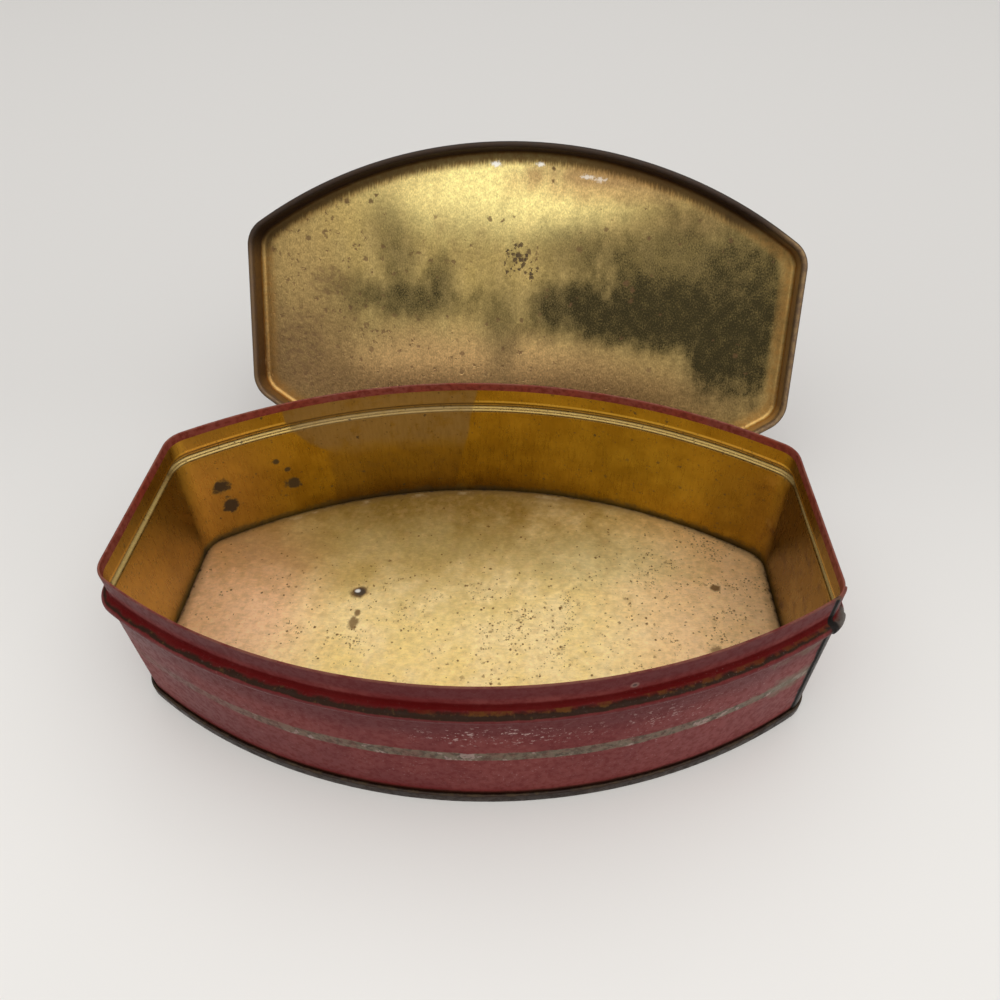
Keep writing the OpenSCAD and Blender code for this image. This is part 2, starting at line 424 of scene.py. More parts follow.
# gold of the floor; spots are middle and spread in millimetres, softness, tearing and strength
floorLook = {
    "pale": (0.94, 0.70, 0.27), "straw": (0.98, 0.76, 0.38), "pink": (1.0, 0.62, 0.38), "green": (0.74, 0.61, 0.29),
    "backShade": (0.58, 0.53, 0.40), "shadow": (0.235, 0.135, 0.012), "fleck": (0.62, 0.40, 0.16),
    "rust": (0.150, 0.066, 0.009), "halo": (0.22, 0.125, 0.045), "flake": (0.80, 0.64, 0.38),
    "creaseDark": (0.035, 0.020, 0.010), "pit": (0.050, 0.036, 0.022), "chip": (0.80, 0.78, 0.74),
    "roughness": 0.38, "bump": 0.3,
    "pinkSpots": [((-98, 2, 4), (34, 46, 30), 0.5, 0.5, 0.85), ((24, -64, 4), (90, 16, 30), 0.5, 0.4, 0.4),
                  ((92, 4, 4), (36, 48, 30), 0.6, 0.5, 0.55)],
    "greenSpots": [((48, 30, 4), (30, 13, 30), 0.6, 0.9, 0.7), ((-24, 40, 4), (46, 14, 30), 0.6, 0.9, 0.6),
                   ((10, 8, 4), (60, 20, 30), 0.7, 0.9, 0.25)],
    "backShadeSpots": [((-38, 44, 4), (74, 34, 30), 0.5, 0.5, 1.0), ((-88, 37, 4), (26, 13, 30), 0.6, 0.5, 0.7)],
    "shadowSpots": [((-24, 74, 4), (104, 28, 30), 0.5, 0.6, 0.78)],
    "pitZone": [((44, -4, 4), (50, 24, 30), 0.6, 0.9, 0.9), ((-34, -4, 4), (44, 24, 30), 0.6, 0.9, 0.55),
                ((78, 20, 4), (36, 26, 30), 0.6, 0.9, 0.7)],
    "rustSpots": [((90, 15.6, 4), (1.9, 1.7, 9), 0.4, 0.7, 0.9), ((-44.6, -0.8, 4), (1.0, 1.7, 9), 0.4, 0.8, 0.85),
                  ((-45.6, -5.4, 4), (1.7, 2.6, 9), 0.4, 0.9, 0.8), ((-45.8, 9.0, 4), (3.2, 2.6, 9), 0.35, 0.5, 0.95),
                  ((86, -13, 4), (2.4, 1.6, 9), 0.5, 1.0, 0.7)],
    "pitSpots": [((-45.4, 9.1, 4), (2.3, 1.9, 9), 0.35, 0.6, 0.9)],
    "chipSpots": [((-46.3, 9.6, 4), (1.05, 0.85, 9), 0.4, 0.5, 1.0)],
}


def makeFloorGold():
    look = floorLook
    made, surface = newMaterial("floorGoldLacquer")
    place = objectPlace()
    out = stored("outside")
    tear = tearNoise(place, 55.0)
    fine = tearNoise(place, 420.0)
    grain = streaks(place, (0.45, 1.0, 1.0), 1100.0)
    fleck = cloud(place, 300.0, 0.45, 0.7)
    crust = cloud(place, 420.0, 0.34, 0.68, 0.7)
    colour = blend(ramp(tear, 0.35, 0.68), look["pale"], look["straw"])
    # the last two of these patches are painted shade towards the back wall
    for name, mode in (("pink", "MIX"), ("green", "MIX"), ("backShade", "MULTIPLY"), ("shadow", "MIX")):
        colour = stain(place, tear, colour, look, name, mode)
    colour = blend(scaled(fleck, 0.3), colour, look["fleck"])
    tone = times(scaled(grain, 0.5, 0.74), scaled(crust, 0.16, 0.93))
    colour = blend(1.0, colour, tone, "MULTIPLY")
    # rust pits gather in flocks
    flock = cloud(place, 95.0, 0.50, 0.64)
    where = times(patches(place, tear, look["pitZone"]), scaled(flock, 1.0, 0.10))
    amount = scaled(where, 1.0, 0.035)
    small = pitted(place, 1150.0, amount, 0.62)
    middling = pitted(place, 700.0, scaled(amount, 0.45), 0.55)
    large = pitted(place, 380.0, scaled(amount, 0.16), 0.42)
    rust = most(small, middling, large, patches(place, fine, look["rustSpots"]))
    colour = blend(rust, colour, look["rust"])
    # along the crease: a brown halo, pale flakes and a dark line right at the crease
    halo = ramp(plus(out, scaled(tear, 9.0, -4.5)), -4.2, -0.4)
    colour = blend(scaled(halo, 0.5), colour, look["halo"])
    flakes = times(band(out, -3.2, -2.0, -0.5, -1.2), ramp(tear, 0.54, 0.62))
    colour = blend(scaled(flakes, 0.3), colour, look["flake"])
    crease = ramp(plus(out, scaled(fine, 3.0, -1.5)), -0.8, 0.5)
    crease = times(crease, scaled(fleck, 0.5, 0.55), clamp=True)
    colour = blend(crease, colour, look["creaseDark"])
    colour = stain(place, fine, colour, look, "pit")
    chip = patches(place, fine, look["chipSpots"])
    colour = blend(chip, colour, look["chip"])
    rust = times(rust, scaled(chip, -1.0, 1.0))
    dull = most(crease, scaled(tear, 0.5, 0.3))
    finishGold(surface, look, colour, grain, rust, dull)
    return made


# gold inside the wall
wallLook = {
    "amber": (0.355, 0.214, 0.023), "ochre": (0.272, 0.155, 0.014), "brown": (0.205, 0.122, 0.026),
    "dull": (0.25, 0.165, 0.066), "dullStreak": (0.185, 0.112, 0.040), "end": (0.165, 0.080, 0.014),
    "scuff": (0.40, 0.26, 0.075), "lit": (0.44, 0.310, 0.110), "cornerShade": (0.70, 0.70, 0.80),
    "shade": (0.085, 0.040, 0.010), "grooveHighlight": (0.47, 0.34, 0.14), "glint": (0.62, 0.43, 0.10),
    "rust": (0.042, 0.024, 0.012), "roughness": 0.30, "bump": 0.25,
    "endSpots": [((112, 0, 26), (12, 46, 34), 0.5, 0.6, 1.0)],
    "cornerShadeSpots": [((99, 40, 20), (12, 12, 26), 0.5, 0.6, 0.9)],
    "rustSpots": [
        ((-101.3, 38.4, 29.8), (3.0, 3.0, 3.0), 0.3, 1.3, 0.95),
        ((-100.4, 38.9, 19.4), (2.9, 2.9, 3.8), 0.3, 1.3, 0.95),
        ((-81.6, 49.2, 33.7), (1.3, 1.3, 1.3), 0.3, 0.6, 0.85),
        ((-78.5, 50.6, 28.6), (1.2, 1.2, 1.1), 0.3, 0.6, 0.85),
        ((-77.4, 51.0, 20.5), (2.9, 2.9, 2.5), 0.35, 1.6, 0.9),
        ((-92.4, 44.4, 54.6), (1.6, 1.6, 0.8), 0.4, 0.7, 0.7)],
}


def makeWallGold():
    look = wallLook
    made, surface = newMaterial("wallGoldLacquer")
    place = objectPlace()
    across, depth, high = (along(place, k) for k in "XYZ")
    tear = tearNoise(place, 70.0)
    fine = tearNoise(place, 320.0)
    grain = streaks(place, (1.0, 1.0, 0.2), 900.0)
    streak = cloud(place, 170.0, 0.48, 0.72)
    colour = blend(ramp(tear, 0.35, 0.65), look["amber"], look["ochre"])
    # dull patch on the back wall, straight at the right, over a browner patch below it
    shaken = scaled(tear, 8.0, -4.0)
    right = ramp(plus(across, scaled(high, -0.22, 15.0), scaled(shaken, 0.35)), 0.7, -0.7)
    right = times(right, ramp(depth, 0.0, 10.0))
    slant = ramp(plus(across, scaled(high, 0.91, 32.3), shaken), -1.2, 1.2)
    lower = ramp(plus(high, scaled(across, 0.06), shaken), 24.0, 34.0)
    dull = times(right, slant, ramp(across, -75.0, -73.8), lower)
    brown = times(right, ramp(plus(across, shaken), -64.0, -61.5), scaled(dull, -1.0, 1.0))
    colour = blend(times(brown, scaled(streak, 0.3, 0.55)), colour, look["brown"])
    dullTone = blend(streak, look["dull"], look["dullStreak"])
    colour = blend(times(dull, scaled(streak, -0.25, 0.85)), colour, dullTone)
    # the right end is browner and scuffed, the left end catches more light
    ends = patches(place, tear, look["endSpots"])
    colour = blend(times(ends, scaled(streak, 0.55, 0.45)), colour, look["end"])
    scuff = cloud(place, 75.0, 0.56, 0.66)
    colour = blend(times(ends, scaled(scuff, 0.5)), colour, look["scuff"])
    lit = ramp(across, -70.0, -110.0)
    colour = blend(scaled(lit, 0.42), colour, look["lit"])
    # painted shade darkens the back right corner
    colour = stain(place, tear, colour, look, "cornerShade", "MULTIPLY")
    # painted light makes the wall brighter towards the left, and painted shade darkens the back left corner
    corner = times(ramp(across, -60.0, -85.0), ramp(depth, 27.0, 38.0))
    shine = minus(scaled(ramp(across, 70.0, -20.0), 0.2, 1.0), scaled(corner, 0.22))
    tone = times(scaled(grain, 0.6, 0.7), shine)
    colour = blend(1.0, colour, tone, "MULTIPLY")
    pits = pitted(place, 520.0, scaled(streak, 0.22, 0.05), 0.4)
    dots = pitted(place, 1000.0, scaled(streak, 0.4, 0.12), 0.5)
    pits = most(pits, scaled(dots, 0.7))
    ragged = plus(high, scaled(tearNoise(place, 190.0), 9.0, -4.5))
    # a ragged dark band at the foot of the wall is painted shade, mixed in with the rust below
    low = times(ramp(ragged, 7.0, 4.6), scaled(streak, 0.35, 0.5))
    # a broad brown painted shade over the middle of the crease
    shade = times(band(across, -80.0, -50.0, 45.0, 0.0), ramp(depth, 20.0, 40.0),
                  ramp(ragged, 15.0, 5.0))
    colour = blend(scaled(shade, 0.6), colour, look["shade"])
    # pale painted highlight along the groove of the stop bead, dark painted shade above it (mixed in with the rust),
    # with a thin bright painted highlight where the collar begins
    grooveHighlight = times(band(high, 45.5, 46.1, 49.0, 48.3), scaled(dull, -0.55, 1.0))
    colour = blend(times(grooveHighlight, scaled(fine, 0.6, 0.3)), colour, look["grooveHighlight"])
    glint = times(band(high, 51.6, 51.9, 52.8, 52.4), scaled(dull, -0.9, 0.9))
    colour = blend(glint, colour, look["glint"])
    stepShade = band(high, 48.9, 49.7, 51.7, 51.1)
    spots = patches(place, fine, look["rustSpots"])
    rust = most(scaled(pits, 0.8), spots, low, scaled(stepShade, 0.55))
    colour = blend(rust, colour, look["rust"])
    finishGold(surface, look, colour, grain, rust, scaled(dull, 0.3))
    return made


# gold inside the lid; panel is the height of its inner side while it lies flat
lidLook = {
    "gold": (0.64, 0.465, 0.155), "worn": (0.53, 0.385, 0.145), "topHighlight": (1.0, 0.83, 0.33),
    "tan": (0.60, 0.385, 0.155), "rosy": (0.74, 0.475, 0.20), "brown": (0.34, 0.20, 0.085),
    "olive": (0.33, 0.23, 0.085), "dark": (0.045, 0.034, 0.009), "rust": (0.155, 0.080, 0.027),
    "crumb": (0.055, 0.036, 0.018), "border": (0.50, 0.27, 0.075),
    "shadeAndDirtFringe": (0.075, 0.043, 0.016), "glint": (1.0, 0.98, 0.92), "skirtLeft": (0.17, 0.105, 0.050),
    "skirtRight": (0.42, 0.28, 0.13), "skirtTop": (0.030, 0.009, 0.002), "curl": (0.16, 0.098, 0.056),
    "curlTop": (0.042, 0.026, 0.017), "edge": (0.022, 0.017, 0.014),
    "roughness": 0.38, "bump": 0.35, "panel": 10.364,
    "topHighlightSpots": [((-12, -54, 0), (44, 17, 30), 0.7, 0.9, 1.0), ((18, -48, 0), (26, 9, 30), 0.7, 1.0, 0.6)],
    "tanSpots": [((-8, 28, 0), (100, 18, 30), 0.6, 0.6, 0.8), ((-96, 6, 0), (22, 40, 30), 0.6, 0.7, 0.7),
                 ((36, -56, 0), (34, 7, 30), 0.5, 1.2, 0.8)],
    "rosySpots": [((-36, 22, 0), (54, 18, 30), 0.6, 0.8, 0.85), ((20, 18, 0), (24, 12, 30), 0.7, 0.9, 0.5)],
    "brownSpots": [((-96, 18, 0), (24, 20, 30), 0.6, 0.8, 0.95), ((42, 20, 0), (30, 9, 30), 0.7, 0.8, 0.35),
                   ((66, 30, 0), (40, 9, 30), 0.7, 0.8, 0.15), ((34, -59, 0), (32, 4.5, 30), 0.4, 0.9, 0.65),
                   ((70, -43, 0), (14, 6, 30), 0.6, 0.9, 0.4), ((-62, 30, 0), (30, 9, 30), 0.7, 0.8, 0.4)],
    "oliveSpots": [((-92, -12, 0), (34, 40, 30), 0.7, 1.0, 0.5), ((56, -50, 0), (40, 12, 30), 0.7, 1.0, 0.2),
                   ((60, -10, 0), (60, 30, 30), 0.7, 1.0, 0.4)],
    "darkSpots": [
        ((57, -6, 0), (48, 14, 30), 0.5, 0.9, 0.97), ((88, 6, 0), (20, 22, 30), 0.5, 1.0, 1.0),
        ((67, -25, 0), (38, 23, 30), 0.6, 0.9, 0.70), ((23, -30, 0), (17, 11, 30), 0.7, 1.1, 0.5),
        ((17, -8, 0), (13, 10, 30), 0.6, 0.6, 0.75), ((90, -20, 0), (16, 18, 30), 0.6, 1.1, 0.6),
        ((-56, -36, 0), (9, 13, 30), 0.8, 1.3, 0.48), ((-50, -23, 0), (8, 9, 30), 0.8, 1.3, 0.5),
        ((-44, -8, 0), (20, 8, 30), 0.7, 1.3, 0.78), ((-33, -17, 0), (6, 8, 30), 0.7, 1.3, 0.6),
        ((-70, -11, 0), (14, 7, 30), 0.8, 1.3, 0.4), ((-8, -3, 0), (9, 14, 30), 0.8, 1.3, 0.5),
        ((-24, -32, 0), (22, 12, 30), 0.8, 1.3, 0.3), ((-7, 14, 0), (7, 14, 30), 0.8, 1.3, 0.35),
        ((-52, 5, 0), (26, 8, 30), 0.8, 1.3, 0.22)],
    "pitZone": [((-90, -4, 0), (32, 46, 30), 0.7, 0.9, 0.9), ((-40, 22, 0), (50, 20, 30), 0.7, 0.9, 0.6),
                ((-66, -36, 0), (12, 8, 30), 0.6, 0.9, 0.8), ((-34, -24, 0), (14, 8, 30), 0.6, 0.9, 0.6)],
    "crumbZone": [((-3, -24, 0), (3.5, 5, 30), 0.6, 1.2, 1.0), ((0.5, -28, 0), (4, 4, 30), 0.6, 1.2, 0.9),
                  ((5, -21, 0), (5, 3, 30), 0.6, 1.2, 0.9)],
    "blotSpots": [((-95, 14, 0), (12, 16, 30), 0.4, 0.9, 0.6), ((-82, -14, 0), (9, 6, 30), 0.4, 0.9, 0.5),
                  ((-78, 29, 0), (8, 6, 30), 0.4, 0.9, 0.4)],
    "glintSpots": [
        ((-11.5, -62.2, 0), (1.8, 0.9, 30), 0.6, 1.6, 0.9), ((6.3, -62.6, 0), (1.4, 0.7, 30), 0.6, 1.6, 0.8),
        ((25.5, -58.5, 0), (2.0, 0.8, 30), 0.6, 2.4, 0.5), ((30.5, -57.6, 0), (2.0, 0.8, 30), 0.6, 2.4, 0.4)],
}


def lidPlace():
    # the flat plan of the lid, with the depth under its panel as the third way
    flat = put("ShaderNodeUVMap", uv_map="lidPlan").outputs["UV"]
    parts = put("ShaderNodeSeparateXYZ", {"Vector": flat}).outputs
    rise = stored("rise")
    under = scaled(rise, mm, -lidLook["panel"] * mm)
    place = put("ShaderNodeCombineXYZ", {"X": parts["X"], "Y": parts["Y"], "Z": under}).outputs[0]
    return place, rise


def makeLidGold():
    look = lidLook
    made, surface = newMaterial("lidGoldLacquer")
    place, rise = lidPlace()
    across, down = along(place, "X"), along(place, "Y")
    out = stored("outside")
    tear = tearNoise(place, 75.0, (1.0, 0.6, 1.0))
    grain = streaks(place, (1.0, 0.6, 1.0), 1700.0)
    speck = cloud(place, 380.0, 0.38, 0.66)
    colour = blend(ramp(tear, 0.35, 0.66), look["gold"], look["worn"])
    # the bright patch is a painted highlight over the top of the panel; the rosy patch is the panel's pinkish tone,
    # painted lighter low on the panel as painted light
    for name in ("topHighlight", "tan", "rosy", "brown", "olive"):
        colour = stain(place, tear, colour, look, name)
    crystal = streaks(place, (1.0, 0.7, 1.0), 1900.0)
    depth = cloud(place, 230.0, 0.30, 0.62, 0.7)
    dark = times(patches(place, tear, look["darkSpots"]), scaled(crystal, -1.3, 1.66),
                 scaled(depth, 0.22, 0.86), clamp=True)
    colour = blend(dark, colour, look["dark"])
    mottle = cloud(place, 460.0, 0.33, 0.68, 0.7)
    tone = times(scaled(grain, 1.2, 0.4), scaled(mottle, 0.32, 0.83))
    colour = blend(1.0, colour, tone, "MULTIPLY")
    where = times(patches(place, tear, look["pitZone"]), speck)
    pits = pitted(place, 400.0, scaled(where, 1.1, 0.05), 0.62)
    crumbs = pitted(place, 560.0, patches(place, tear, look["crumbZone"]), 0.85)
    blots = times(patches(place, tear, look["blotSpots"]), speck)
    rust = most(pits, crumbs, blots)
    colour = blend(rust, colour, look["rust"])
    colour = blend(scaled(crumbs, 0.9), colour, look["crumb"])
    # browned border, frayed dark along the top, partly dirt and partly painted shade, with a few painted glints
    top = ramp(plus(down, scaled(across, 0.06)), -26.0, -40.0)
    strand = streaks(place, (1.0, 0.14, 1.0), 1500.0)
    shadeAndDirtFringe = times(top, ramp(plus(out, scaled(strand, 5.0, -2.5)), -5.2, -1.8))
    border = times(ramp(out, -6.0, -2.0), scaled(speck, 0.4, 0.35))
    colour = blend(border, colour, look["border"])
    colour = blend(scaled(shadeAndDirtFringe, 0.85), colour, look["shadeAndDirtFringe"])
    colour = stain(place, tearNoise(place, 900.0), colour, look, "glint")
    # the skirt is browned and painted lighter towards the right as painted light; skirt and rolled edge are darkest
    # along the top as painted shade, and the rolled edge is nearly black
    skirtLightRight = blend(ramp(across, -60.0, 60.0), look["skirtLeft"], look["skirtRight"])
    skirtLitAndShaded = blend(top, skirtLightRight, look["skirtTop"])
    skirt = ramp(minus(rise, top), 9.2, 8.0)
    skirt = times(skirt, scaled(speck, 0.12, 0.85), clamp=True)
    colour = blend(skirt, colour, skirtLitAndShaded)
    curl = times(ramp(rise, 3.4, 2.0), scaled(speck, 0.45, 0.5))
    colour = blend(curl, colour, blend(top, look["curl"], look["curlTop"]))
    edge = ramp(out, 2.3, 2.8)
    colour = blend(scaled(edge, 0.7), colour, look["edge"])
    covered = most(times(skirt, scaled(top, 0.75, 0.25)), scaled(curl, 0.75))
    finishGold(surface, look, colour, grain, rust, most(scaled(dark, 0.35), covered))
    return made


# red print outside the wall and the lid
redLook = {
    "paint": (0.134, 0.0105, 0.0105), "deep": (0.076, 0.002, 0.002), "plum": (0.088, 0.0125, 0.0145),
    "dusty": (0.184, 0.035, 0.031), "paintedLightRight": (0.215, 0.048, 0.047), "brick": (0.27, 0.045, 0.026),
    "paleBrick": (0.25, 0.062, 0.048), "darkBrick": (0.17, 0.028, 0.018), "fleck": (0.47, 0.33, 0.30),
    "tin": (0.150, 0.116, 0.076), "dullTin": (0.072, 0.056, 0.037), "brownTin": (0.045, 0.026, 0.016),
    "line": (0.020, 0.0095, 0.004), "brass": (0.060, 0.031, 0.009), "amber": (0.125, 0.060, 0.010),
    "chip": (0.26, 0.15, 0.12), "core": (0.08, 0.045, 0.04), "bare": (0.115, 0.10, 0.088),
    "bareRust": (0.055, 0.036, 0.028), "slot": (0.012, 0.010, 0.009), "blob": (0.018, 0.014, 0.012),
    "rim": (0.28, 0.14, 0.09), "shine": 0.12, "hollowShine": -0.09,
    "fleckZone": [((14, -67, 38), (26, 20, 4), 0.7, 0.9, 1.0), ((70, -55, 36), (34, 24, 12), 0.7, 0.9, 0.5),
                  ((20, -66, 18), (60, 24, 8), 0.7, 0.9, 0.35), ((-70, -54, 36), (40, 24, 12), 0.7, 0.9, 0.2)],
    "rubZone": [((12, -67, 38.5), (24, 20, 4.5), 0.6, 1.0, 0.85), ((56, -60, 37), (16, 24, 5), 0.7, 1.0, 0.55)],
    "chipSpots": [((47.6, -60.5, 55.4), (1.2, 3.0, 1.2), 0.25, 0.2, 1.0)],
    "coreSpots": [((47.6, -60.5, 55.4), (0.6, 3.0, 0.6), 0.3, 0.2, 1.0)],
    "tinSpots": [((98, -37, 27.5), (14, 12, 4), 0.35, 1.6, 0.6), ((98, -36, 44), (9, 8, 3), 0.4, 1.6, 0.5)],
    "blobSpots": [((106, -34, 49.2), (3.4, 3.4, 1.5), 0.35, 0.8, 1.0)],
}


def makeRedWall():
    look = redLook
    made, surface = newMaterial("redWallPaint")
    place = objectPlace()
    run = along(put("ShaderNodeUVMap", uv_map="wrap").outputs["UV"], "X")
    high = along(place, "Z")
    out = stored("outside")
    tear = tearNoise(place, 170.0)
    fine = cloud(place, 520.0, 0.40, 0.66)
    broad = cloud(place, 38.0, 0.36, 0.66)
    dust = cloud(place, 1300.0, 0.61, 0.70)
    shaken = plus(high, scaled(tear, 1.3, -0.65))
    colour = blend(broad, look["paint"], look["dusty"])
    plum = most(ramp(shaken, 54.0, 57.0), band(shaken, 34.0, 42.0, 51.0, 48.0))
    colour = blend(scaled(plum, 0.7), colour, look["plum"])
    # painted light: the red is lighter low down towards the right
    paintedLightRight = times(ramp(run, 30.0, 80.0), ramp(shaken, 46.0, 30.0))
    colour = blend(scaled(paintedLightRight, 0.5), colour, look["paintedLightRight"])
    colour = blend(scaled(fine, 0.35), colour, look["deep"])
    # the hollow over the stop bead is painted a deep red as painted shade, and the bead's shoulder is worn to a dark
    # line
    hollowShade = band(shaken, 54.0, 52.7, 49.6, 51.0)
    colour = blend(scaled(hollowShade, 0.85), colour, look["deep"])
    thinned = plus(shaken, scaled(calc("ABSOLUTE", run), -0.008))
    line = times(ramp(shaken, 50.7, 50.35), ramp(thinned, 49.0, 49.4))
    rubbed = cloud(place, 360.0, 0.56, 0.70)
    colour = blend(scaled(line, 0.95), colour, blend(rubbed, look["line"], look["brass"]))
    amber = times(band(shaken, 50.95, 50.75, 50.3, 50.5), ramp(run, -15.0, 5.0),
                  ramp(tear, 0.47, 0.60), scaled(ramp(run, 40.0, 90.0), -0.3, 0.6))
    colour = blend(amber, colour, look["amber"])
    # the hem's inner face, a lighter brick red
    hem = times(ramp(out, -0.30, -0.55), ramp(high, 56.0, 57.0))
    brick = blend(fine, blend(broad, look["brick"], look["paleBrick"]), look["darkBrick"])
    colour = blend(scaled(hem, 0.9), colour, brick)
    # printed stripe, rubbed thin towards the left
    gaps = ramp(tear, 0.36, 0.56)
    torn = plus(high, scaled(tear, 2.6, -1.3))
    lower = ramp(minus(shaken, ramp(run, 40.0, 110.0)), 24.7, 25.0)
    stripe = times(ramp(torn, 29.3, 28.9), lower, scaled(gaps, 0.35, 0.62),
                   scaled(ramp(run, -120.0, -20.0), 0.75, 0.25))
    colour = blend(stripe, colour, blend(fine, look["tin"], look["dullTin"]))
    chalk = times(stripe, ramp(tear, 0.58, 0.63))
    colour = blend(scaled(chalk, 0.5), colour, look["fleck"])
    # dust and scratches, and one chip near the rim
    dusted = times(scaled(patches(place, tear, look["fleckZone"]), 0.8, 0.04), dust)
    scratch = ramp(streaks(place, (0.55, 0.55, 1.0), 900.0), 0.60, 0.66)
    flecks = most(dusted, times(patches(place, tear, look["rubZone"]), scratch))
    colour = blend(flecks, colour, look["fleck"])
    chip = patches(place, tear, look["chipSpots"])
    colour = blend(scaled(chip, 0.7), colour, look["chip"])
    colour = stain(place, tear, colour, look, "core")
    # the front sheet ends in a torn dark line at the corner, with bare tin beyond it
    turn = plus(run, scaled(tear, 3.0, -1.5))
    bare = times(ramp(turn, 113.6, 114.0), ramp(run, 120.5, 119.5), ramp(shaken, 51.5, 50.0))
    slot = band(turn, 111.9, 112.3, 114.5, 113.9)
    colour = stain(place, tear, colour, look, "tin")
    colour = blend(bare, colour, blend(ramp(tear, 0.42, 0.6), look["bare"], look["bareRust"]))
    colour = blend(slot, colour, look["slot"])
    colour = stain(place, tear, colour, look, "blob")
    foot = ramp(shaken, 5.6, 4.3)
    colour = blend(scaled(foot, 0.85), colour, look["line"])
    rim = times(ramp(high, 60.3, 60.9), scaled(gaps, 0.3, 0.05))
    colour = blend(rim, colour, look["rim"])
    wire(surface, {
        "Metallic": most(scaled(stripe, 0.2), scaled(bare, 0.35)),
        "Specular IOR Level": scaled(hollowShade, look["hollowShine"], look["shine"])})
    finishRed(surface, colour, broad, fine, flecks)
    return made


def makeRedLid():
    look = redLook
    made, surface = newMaterial("redLidPaint")
    place, rise = lidPlace()
    out = stored("outside")
    tear = tearNoise(place, 60.0)
    fine = cloud(place, 520.0, 0.40, 0.66)
    broad = cloud(place, 30.0, 0.36, 0.66)
    dust = cloud(place, 800.0, 0.61, 0.68)
    colour = blend(broad, look["paint"], look["dusty"])
    colour = blend(scaled(fine, 0.35), colour, look["deep"])
    # paint is rubbed where the panel turns down into the skirt, and along the rolled edge
    shoulder = times(ramp(out, -1.6, 0.4), ramp(rise, 8.2, 9.6))
    rolled = ramp(rise, 2.4, 1.6)
    corners = ramp(calc("ABSOLUTE", along(place, "X")), 84.0, 104.0)
    bare = plus(tearNoise(place, 210.0), scaled(corners, 0.06), scaled(tear, 0.25, -0.125))
    worn = times(most(shoulder, rolled), ramp(bare, 0.50, 0.58))
    colour = blend(worn, colour, blend(fine, look["tin"], look["brownTin"]))
    rubbed = cloud(place, 17.0, 0.50, 0.68)
    scratch = ramp(streaks(place, (0.10, 1.0, 1.0), 620.0), 0.61, 0.67)
    dusted = times(scaled(broad, 0.3, 0.06), dust)
    flecks = most(dusted, times(scaled(rubbed, 0.45), scratch))
    colour = blend(flecks, colour, look["fleck"])
    surface.inputs["Specular IOR Level"].default_value = look["shine"]
    finishRed(surface, colour, broad, fine, flecks)
    return made


# dark tin under the floor, and the sheet's cut edges
tinLook = {
    "dark": (0.016, 0.0075, 0.005), "light": (0.034, 0.0175, 0.0105), "spot": (0.018, 0.012, 0.008),
    "crest": (0.085, 0.055, 0.026), "shine": 0.3, "bump": 0.25,
    "cut": (0.16, 0.14, 0.12), "cutRust": (0.04, 0.028, 0.02),
}


def makeAgedTin():
    look = tinLook
    made, surface = newMaterial("agedTin")
    place = objectPlace()
    haze = cloud(place, 60.0, 0.35, 0.65)
    fine = cloud(place, 420.0, 0.42, 0.65)
    colour = blend(haze, look["dark"], look["light"])
    colour = blend(scaled(fine, 0.6), colour, look["spot"])
    # a painted rust-coloured highlight along the top of the foot
    crest = times(ramp(along(place, "Z"), 3.2, 3.9), fine)
    colour = blend(scaled(crest, 0.6), colour, look["crest"])
    wire(surface, {"Base Color": colour, "Metallic": scaled(haze, 0.3, 0.2),
                         "Roughness": scaled(fine, 0.2, 0.42)})
    surface.inputs["Specular IOR Level"].default_value = look["shine"]
    raiseGrain(surface, fine, look["bump"])
    return made


def makeCutEdge():
    made, surface = newMaterial("cutEdge")
    fine = cloud(objectPlace(), 500.0, 0.4, 0.65)
    wire(surface, {"Base Color": blend(fine, tinLook["cut"], tinLook["cutRust"]),
                         "Metallic": scaled(fine, -0.5, 0.8), "Roughness": scaled(fine, 0.3, 0.35)})
    return made


floorGold = makeFloorGold()
wallGold = makeWallGold()
lidGold = makeLidGold()
redWall = makeRedWall()
redLid = makeRedLid()
agedTin = makeAgedTin()
cutEdge = makeCutEdge()
print("materials ready")


# body wall: one strip, hem to foot, whose outer end laps over its inner end
wall = {
    "height": 61.0, "hemDepth": 3.2, "hemRadius": 0.35, "collarFoot": 52.0, "sheet": 0.3,
    "step": 1.4, "beadOut": 3.0, "beadRadius": 2.0, "topHollow": 1.5, "lowHollow": 1.0,
    "bottom": 0.9, "lap": 5.5, "lapLift": 0.4, "lapStep": 0.5, "lapShift": 0.2, "slit": 0.4, "plainBelow": 50,
    "wave": 0.16, "waveRun": 0.028, "waveUp": 42, "waveSeed": 3.1, "stillFoot": 6, "footFade": 12, "hemFade": 6,
}


def wallSection():
    w = wall
    topBend = math.degrees(math.acos(1 - w["beadOut"] / (w["topHollow"] + w["beadRadius"])))
    beadZ = w["collarFoot"] - (w["topHollow"] + w["beadRadius"]) * math.sin(math.radians(topBend))
    lowBend = math.degrees(math.acos(1 - (w["beadOut"] - w["step"]) / (w["lowHollow"] + w["beadRadius"])))
    wallTop = beadZ - (w["lowHollow"] + w["beadRadius"]) * math.sin(math.radians(lowBend))
    r = w["hemRadius"]
    points = [(-2 * r, w["height"] - w["hemDepth"])]
    points += linePoints(points[-1], (-2 * r, w["height"] - r), 3)
    points += arcPoints((-r, w["height"] - r), r, 180, 0, 8)[1:]
    points += linePoints(points[-1], (0, w["collarFoot"]), 5)
    points += arcPoints((w["topHollow"], w["collarFoot"]), w["topHollow"], 180, 180 + topBend, 7)[1:]
    points += arcPoints((w["beadOut"] - w["beadRadius"], beadZ), w["beadRadius"], topBend, -lowBend, 12)[1:]
    points += arcPoints((w["step"] + w["lowHollow"], wallTop), w["lowHollow"], 180 - lowBend, 180, 6)[1:]
    points += linePoints(points[-1], (w["step"], w["bottom"]), 12)
    return points


